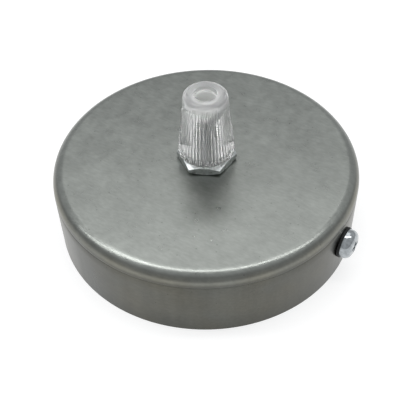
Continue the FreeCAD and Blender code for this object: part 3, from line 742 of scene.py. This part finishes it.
class CordGripLook(PropertyGroup):
    """Sizes and colours of the cord grip."""

    plastic: FloatVectorProperty(
        name="Plastic", description="Tint of the clear cap and stem",
        default=linear("#FEFFFE"), subtype="COLOR", min=0.0, max=1.0)
    haze: FloatProperty(
        name="Haze", description="Share of the clear plastic that is milky",
        default=0.12, subtype="FACTOR", min=0.0, max=1.0)
    end_haze: FloatProperty(
        name="End haze", description="Share of the plastic that is milky at the cap's top end",
        default=0.22, subtype="FACTOR", min=0.0, max=1.0)
    collet: FloatVectorProperty(
        name="Collet", description="Colour of the collet",
        default=linear("#F0F1EE"), subtype="COLOR", min=0.0, max=1.0)
    rib_count: IntProperty(
        name="Ribs", description="Number of ribs round the cap", default=48, min=12, max=90)
    rib_depth: FloatProperty(
        name="Rib depth", description="Depth of the flutes between the ribs",
        default=0.4 * MM, unit="LENGTH", min=0.0, max=0.6 * MM)
    thread_pitch: FloatProperty(
        name="Thread pitch", description="Pitch of the lamp thread on the stem",
        default=1.0 * MM, unit="LENGTH", min=0.5 * MM, max=2.0 * MM)


class FastenerLook(PropertyGroup):
    """Finish of the nuts, screws and washers."""

    zinc: FloatVectorProperty(
        name="Zinc", description="Colour of bright zinc plate",
        default=linear("#AEB3B6"), subtype="COLOR", min=0.0, max=1.0)
    nuts: FloatVectorProperty(
        name="Nuts", description="Colour of the dulled zinc plate on the lock nuts",
        default=linear("#CCD0CF"), subtype="COLOR", min=0.0, max=1.0)
    rubber: FloatVectorProperty(
        name="Rubber", description="Colour of the side screws' washers",
        default=linear("#1C1D1E"), subtype="COLOR", min=0.0, max=1.0)


class TerminalLook(PropertyGroup):
    """Finish of the terminal block and the earth terminal."""

    nylon: FloatVectorProperty(
        name="Nylon", description="Colour of the block's housing",
        default=linear("#E4E3DC"), subtype="COLOR", min=0.0, max=1.0)
    brass: FloatVectorProperty(
        name="Brass", description="Colour of the terminals and the earth screw",
        default=linear("#D9BE7C"), subtype="COLOR", min=0.0, max=1.0)


class StageLook(PropertyGroup):
    """Where the camera stands and how the stage is lit."""

    azimuth: FloatProperty(
        name="Azimuth", description="Turn of the camera round the rose",
        default=math.radians(32.71), subtype="ANGLE")
    elevation: FloatProperty(
        name="Elevation", description="Height of the camera over the level",
        default=math.radians(46.21), subtype="ANGLE")
    roll: FloatProperty(
        name="Roll", description="Tilt of the picture's level line",
        default=math.radians(-1.98), subtype="ANGLE")
    distance: FloatProperty(
        name="Distance", description="From the camera to the point that it looks at",
        default=249.6 * MM, unit="LENGTH")
    aim: FloatVectorProperty(
        name="Aim", description="Point that the camera looks at",
        default=(2.2 * MM, -7.55 * MM, 12.8 * MM), subtype="TRANSLATION", unit="LENGTH")
    lens: FloatProperty(
        name="Lens", description="Focal length in millimetres on a 36 mm frame", default=67.87)
    sky: FloatProperty(
        name="Sky", description="Strength of the even light from all round", default=0.65)
    softbox: FloatProperty(
        name="Softbox", description="Power of the overhead softbox, in watts", default=1.2)
    strip: FloatProperty(
        name="Strip", description="Power of the strip lamp that draws the edge, in watts",
        default=3.4)
    key: FloatProperty(
        name="Key lamp", description="Power of the small key lamp, in watts", default=0.35)


class CEILINGROSE_OT_canopy(Operator):
    """Make the drawn steel canopy and finish the strap bracket inside it"""

    bl_idname = "ceilingrose.canopy"
    bl_label = "Canopy and Bracket"

    def execute(self, context):
        look = context.scene.rose_canopy
        steel = drawn_steel(look.steel, look.wall_shade_share, look.steel_roughness)
        canopy = new_piece(
            "drawn_canopy", spun_mesh("drawn_canopy", canopy_outline(), CANOPY_FACETS))
        reach = CANOPY_RADIUS + SHEET
        bore = spun_mesh("side_holes", [
            (0.0, -reach), (SIDE_HOLE, -reach), (SIDE_HOLE, reach), (0.0, reach)], SCREW_FACETS)
        across = Matrix.Rotation(math.radians(90), 4, "Y")
        bore.transform(Matrix.Translation((0.0, 0.0, SIDE_HOLE_HEIGHT)) @ across)
        carve(canopy, bore)
        finish_piece(canopy, Matrix(), steel, "rose", "canopy")
        strap = zinc_plate("zinc_plated_strap", look.strap, roughness=0.34, spangle=7 * MM)
        dress(strap, "bracket")
        return {"FINISHED"}


class CEILINGROSE_OT_cord_grip(Operator):
    """Make the ribbed cap and the threaded stem of clear plastic, and finish the collet"""

    bl_idname = "ceilingrose.cord_grip"
    bl_label = "Cord Grip"

    def execute(self, context):
        look = context.scene.rose_cord_grip
        pitch = look.thread_pitch
        cap_place = Vector((GRIP_X, GRIP_Y, CAP_LOW.z))
        stem_place = Vector((GRIP_X, GRIP_Y, STEM_LOW.z))
        ribbed = clear_polycarbonate(
            "ribbed_polycarbonate", look.plastic, look.haze, look.end_haze, base=cap_place,
            turns=look.rib_count, pitch=0.0, top=LINED_TOP)
        threaded = clear_polycarbonate(
            "threaded_polycarbonate", look.plastic, look.haze, look.haze, base=stem_place,
            turns=1, pitch=pitch, top=STEM_LENGTH)
        thread = make_thread_tree()
        cap = new_piece("ribbed_cap", spun_mesh("ribbed_cap", cap_outline(pitch), CAP_FACETS))
        apply_tree(cap, make_rib_tree(), {
            "Rib Count": look.rib_count, "Rib Depth": look.rib_depth, "Foot": CAP_RIM,
            "Run Out": FLUTE_RUN_OUT, "Top": FLUTE_TOP, "Material": ribbed})
        # A negative depth, because the cap's thread is cut outwards into its bore
        apply_tree(cap, thread, {
            "Pitch": pitch, "Depth": -LAMP_THREAD_DEPTH * pitch, "Wall Radius": CAP_BORE,
            "Start": CAP_CHAMFER_TOP, "End": CAP_THREAD_TOP, "Material": ribbed})
        finish_piece(cap, Matrix.Translation(cap_place), ribbed, "grip_cap",
                     "grip_cap")
        stem = new_piece(
            "threaded_stem", spun_mesh("threaded_stem", stem_outline(pitch), STEM_FACETS))
        apply_tree(stem, thread, {
            "Pitch": pitch, "Depth": LAMP_THREAD_DEPTH * pitch, "Wall Radius": STEM_RADIUS,
            "Start": STEM_CHAMFER, "End": STEM_LENGTH - STEM_CHAMFER, "Material": threaded})
        finish_piece(stem, Matrix.Translation(stem_place), threaded, "rose",
                     "grip_stem")
        dress(natural_polythene(look.collet), "grip_collet")
        return {"FINISHED"}


class CEILINGROSE_OT_fasteners(Operator):
    """Cut the threads and drives of the screws, and finish the nuts and washers"""

    bl_idname = "ceilingrose.fasteners"
    bl_label = "Fasteners"

    def execute(self, context):
        look = context.scene.rose_fasteners
        zinc = zinc_plate("bright_zinc_plate", look.zinc, roughness=0.15, spangle=1.6 * MM)
        dull = zinc_plate("dull_zinc_plate", look.nuts, roughness=0.3, spangle=1.5 * MM)
        dress(dull, "outer_lock_nut", "inner_lock_nut", "tooth_washer")
        dress(nitrile_rubber(look.rubber), "side_washer_right", "side_washer_left")
        up = (0, 0, 1)
        screws = [
            ("side_screw_right", SIDE_SCREW, (1, 0, 0), "cross"),
            ("side_screw_left", SIDE_SCREW, (-1, 0, 0), "cross"),
        ]
        for pole in (1, 2, 3):
            for end in "ab":
                screws.append((f"clamp_screw_{pole}{end}", CLAMP_SCREW, up, "slot"))
        for number in (1, 2):
            screws.append((f"block_screw_{number}", BLOCK_SCREW, up, "slot"))
        thread = make_thread_tree()
        for node, size, axis, drive in screws:
            make_screw(node, size, axis, drive, thread, zinc)
        return {"FINISHED"}


class CEILINGROSE_OT_terminals(Operator):
    """Finish the terminal block and its tubes, and make the earth screw"""

    bl_idname = "ceilingrose.terminals"
    bl_label = "Terminals"

    def execute(self, context):
        look = context.scene.rose_terminals
        brass = turned_brass(look.brass)
        dress(moulded_nylon(look.nylon), "terminal_block")
        dress(brass, "terminal_tube_1", "terminal_tube_2", "terminal_tube_3", "earth_washer")
        make_screw("earth_screw", EARTH_SCREW, (0, -1, 0), "cross", make_thread_tree(), brass)
        return {"FINISHED"}


class CEILINGROSE_OT_stage(Operator):
    """Set up the white floor, the soft light and the camera"""

    bl_idname = "ceilingrose.stage"
    bl_label = "Stage"

    def execute(self, context):
        look = context.scene.rose_stage
        make_floor()
        make_world(look.sky)
        make_lamp("overhead_softbox", SOFTBOX, look.softbox)
        make_lamp("strip", STRIP_LAMP, look.strip)
        make_lamp("key", KEY_LAMP, look.key)
        make_camera(look)
        context.scene.view_settings.view_transform = "Standard"
        return {"FINISHED"}


def white_paper():
    """Paper that is pure white where nothing shades it, also in metal and in clear plastic, and
    a plain pale grey to the light that falls on the rose. From below it isn't there."""
    material, tree, _ = new_finish("white_paper")
    path = add_node(tree, "ShaderNodeLightPath").outputs
    seen = add_math(tree, "MAXIMUM", path["Is Camera Ray"], path["Is Glossy Ray"])
    seen = add_math(tree, "MAXIMUM", seen, path["Is Transmission Ray"])
    paper = add_node(tree, "ShaderNodeBsdfDiffuse", {"Color": opaque(linear("#E8E8E8"))})
    dim = add_node(tree, "ShaderNodeBsdfDiffuse", {"Color": opaque(linear("#A8A8A8"))})
    glow = add_node(tree, "ShaderNodeEmission", {"Color": WHITE, "Strength": PAPER_GLOW})
    shown = add_node(tree, "ShaderNodeAddShader", {0: dim.outputs[0], 1: glow.outputs[0]})
    top = add_node(tree, "ShaderNodeMixShader", {
        0: seen, 1: paper.outputs[0], 2: shown.outputs[0]})
    side = add_node(tree, "ShaderNodeNewGeometry").outputs["Backfacing"]
    clear = add_node(tree, "ShaderNodeBsdfTransparent")
    sheet = add_node(tree, "ShaderNodeMixShader", {
        0: side, 1: top.outputs[0], 2: clear.outputs[0]})
    add_node(tree, "ShaderNodeOutputMaterial", {"Surface": sheet.outputs[0]})
    return material


def make_floor():
    """Sheet of paper under the rim. It is open right under the rose, where light comes in for
    the views from below."""
    shape = bmesh.new()
    inner, outer = [
        new_ring(shape, radius, -FLOOR_DROP, FLOOR_FACETS)
        for radius in (CANOPY_RADIUS - 2 * SHEET, FLOOR_RADIUS)
    ]
    join_rings(shape, outer, inner)
    floor = new_piece("floor", end_mesh("floor", shape))
    floor.data.materials.append(white_paper())


def make_world(strength):
    """Even pale light from all round, white where it is looked at."""
    world = bpy.data.worlds.new("studio")
    bpy.context.scene.world = world
    world.use_nodes = True
    tree = world.node_tree
    tree.nodes.clear()
    path = add_node(tree, "ShaderNodeLightPath").outputs
    seen = add_math(tree, "MAXIMUM", path["Is Camera Ray"], path["Is Transmission Ray"])
    light = add_node(tree, "ShaderNodeBackground", {
        "Color": opaque(linear("#F6F8FA")), "Strength": strength})
    white = add_node(tree, "ShaderNodeBackground", {"Color": WHITE, "Strength": 1.0})
    shown = add_node(tree, "ShaderNodeMixShader", {
        0: seen, 1: light.outputs[0], 2: white.outputs[0]})
    add_node(tree, "ShaderNodeOutputWorld", {"Surface": shown.outputs[0]})


def make_lamp(name, place_and_size, power):
    """Soft lamp that looks at the origin, its width along the picture's level line."""
    place, size = place_and_size
    data = bpy.data.lights.new(name, "AREA")
    data.shape = "RECTANGLE"
    data.size, data.size_y = size
    data.energy = power
    lamp = bpy.data.objects.new(name, data)
    azimuth = bpy.context.scene.rose_stage.azimuth
    facing = Vector(place).normalized()
    level = Vector((math.cos(azimuth), math.sin(azimuth), 0.0))
    across = (level - facing * level.dot(facing)).normalized()
    turn = Matrix((across, facing.cross(across), facing)).transposed()
    lamp.matrix_world = Matrix.Translation(place) @ turn.to_4x4()
    bpy.context.scene.collection.objects.link(lamp)


def make_camera(look):
    """Camera at the picture's angle, rolled so that the level line rises to the right."""
    back = Vector((
        math.sin(look.azimuth) * math.cos(look.elevation),
        -math.cos(look.azimuth) * math.cos(look.elevation),
        math.sin(look.elevation),
    ))
    data = bpy.data.cameras.new("camera")
    data.sensor_width = SENSOR_WIDTH
    data.lens = look.lens
    data.clip_start = CLIP_START
    camera = bpy.data.objects.new("camera", data)
    bearing = (-back).to_track_quat("-Z", "Y").to_matrix() @ Matrix.Rotation(look.roll, 3, "Z")
    spot = Vector(look.aim) + back * look.distance
    camera.matrix_world = Matrix.Translation(spot) @ bearing.to_4x4()
    bpy.context.scene.collection.objects.link(camera)
    bpy.context.scene.camera = camera


class CEILINGROSE_PT_panel(Panel):
    """Buttons that make each part of the rose"""

    bl_label = "Ceiling Rose"
    bl_idname = "CEILINGROSE_PT_panel"
    bl_space_type = "VIEW_3D"
    bl_region_type = "UI"
    bl_category = "Ceiling Rose"

    def draw(self, context):
        for group, operator in zip(GROUPS, OPERATORS):
            box = self.layout.box()
            look = getattr(context.scene, group)
            for name in GROUPS[group].__annotations__:
                box.prop(look, name)
            box.operator(operator.bl_idname)


GROUPS = {
    "rose_canopy": CanopyLook,
    "rose_cord_grip": CordGripLook,
    "rose_fasteners": FastenerLook,
    "rose_terminals": TerminalLook,
    "rose_stage": StageLook,
}
OPERATORS = (
    CEILINGROSE_OT_canopy,
    CEILINGROSE_OT_cord_grip,
    CEILINGROSE_OT_fasteners,
    CEILINGROSE_OT_terminals,
    CEILINGROSE_OT_stage,
)


def register():
    for kind in (*GROUPS.values(), *OPERATORS, CEILINGROSE_PT_panel):
        bpy.utils.register_class(kind)
    for name, kind in GROUPS.items():
        setattr(bpy.types.Scene, name, PointerProperty(type=kind))


def unregister():
    for name in GROUPS:
        delattr(bpy.types.Scene, name)
    for kind in reversed((*GROUPS.values(), *OPERATORS, CEILINGROSE_PT_panel)):
        bpy.utils.unregister_class(kind)


def main():
    register()
    bpy.ops.ceilingrose.canopy()
    bpy.ops.ceilingrose.cord_grip()
    bpy.ops.ceilingrose.fasteners()
    bpy.ops.ceilingrose.terminals()
    bpy.ops.ceilingrose.stage()


if __name__ == "__main__":
    main()
